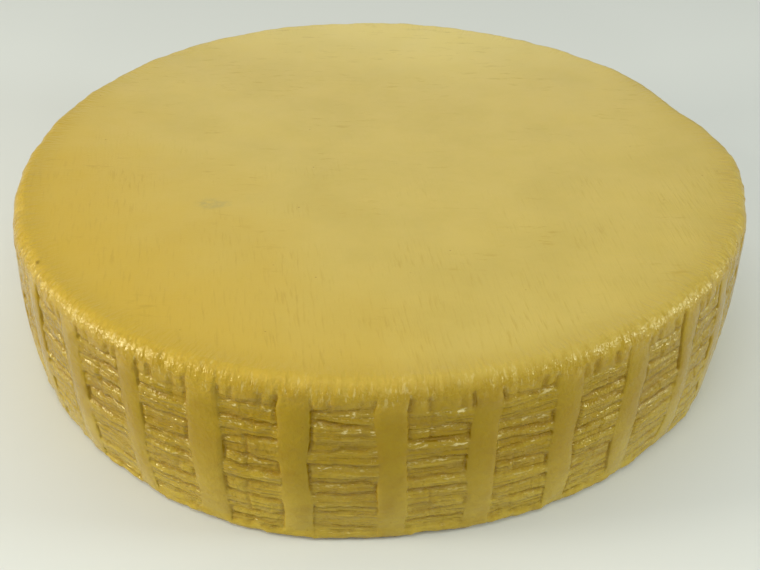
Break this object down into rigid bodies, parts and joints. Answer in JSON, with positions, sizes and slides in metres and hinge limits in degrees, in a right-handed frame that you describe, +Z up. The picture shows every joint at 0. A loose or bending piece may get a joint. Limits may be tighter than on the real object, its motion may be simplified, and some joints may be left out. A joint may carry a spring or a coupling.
{
  "type": "half wheel of hard cheese",
  "caption": "Low round half wheel of hard cheese, split through its thickness, with a flat cut face, a rounded edge and a rind of smooth upright bands between sunken, bar-pressed panels.",
  "frame": {"origin": "on the surface that the cheese lies on, under the middle of its outline", "axes": "+Z up through the thickness, from the rind face that it lies on to the cut face; -Y towards the side that the picture looks at"},
  "size_m": [0.4426, 0.459, 0.105],
  "materials": {
    "cheese": "waxy yellow hard cheese, satin on the cut face and glossier on the pressed rind"
  },
  "bodies": {
    "root": {"half_wheel": "cheese"}
  },
  "joints": []
}
